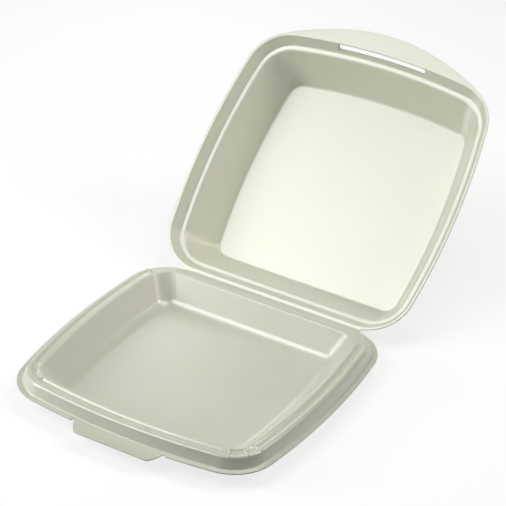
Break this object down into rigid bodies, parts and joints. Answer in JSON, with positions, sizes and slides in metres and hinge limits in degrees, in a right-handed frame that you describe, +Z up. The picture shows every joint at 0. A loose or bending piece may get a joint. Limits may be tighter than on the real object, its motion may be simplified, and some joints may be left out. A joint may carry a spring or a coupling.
{
  "type": "hinged meal box",
  "caption": "Pressed foam meal box: a shallow tray with a raised rim and front tab, folded to a deep lid with a slotted skirt that closes over the rim; shown open, the lid leaning back.",
  "frame": {"origin": "centre of the tray's underside, on the table", "axes": "+Z up, +X to the box's right, -Y towards the front with the tab, +Y towards the fold and the open lid"},
  "size_m": [0.2412, 0.428, 0.1814],
  "materials": {
    "foam": "cream-white foamed polystyrene with a smooth satin skin"
  },
  "bodies": {
    "tray": {"tray": "foam"},
    "lid": {"lid": "foam"}
  },
  "joints": [
    {"name": "lid_hinge", "type": "hinge", "parent": "tray", "child": "lid", "pos_m": [0, 0.11735, 0.0153], "axis": [-1, 0, 0], "range_deg": [-138.05, 0]}
  ]
}
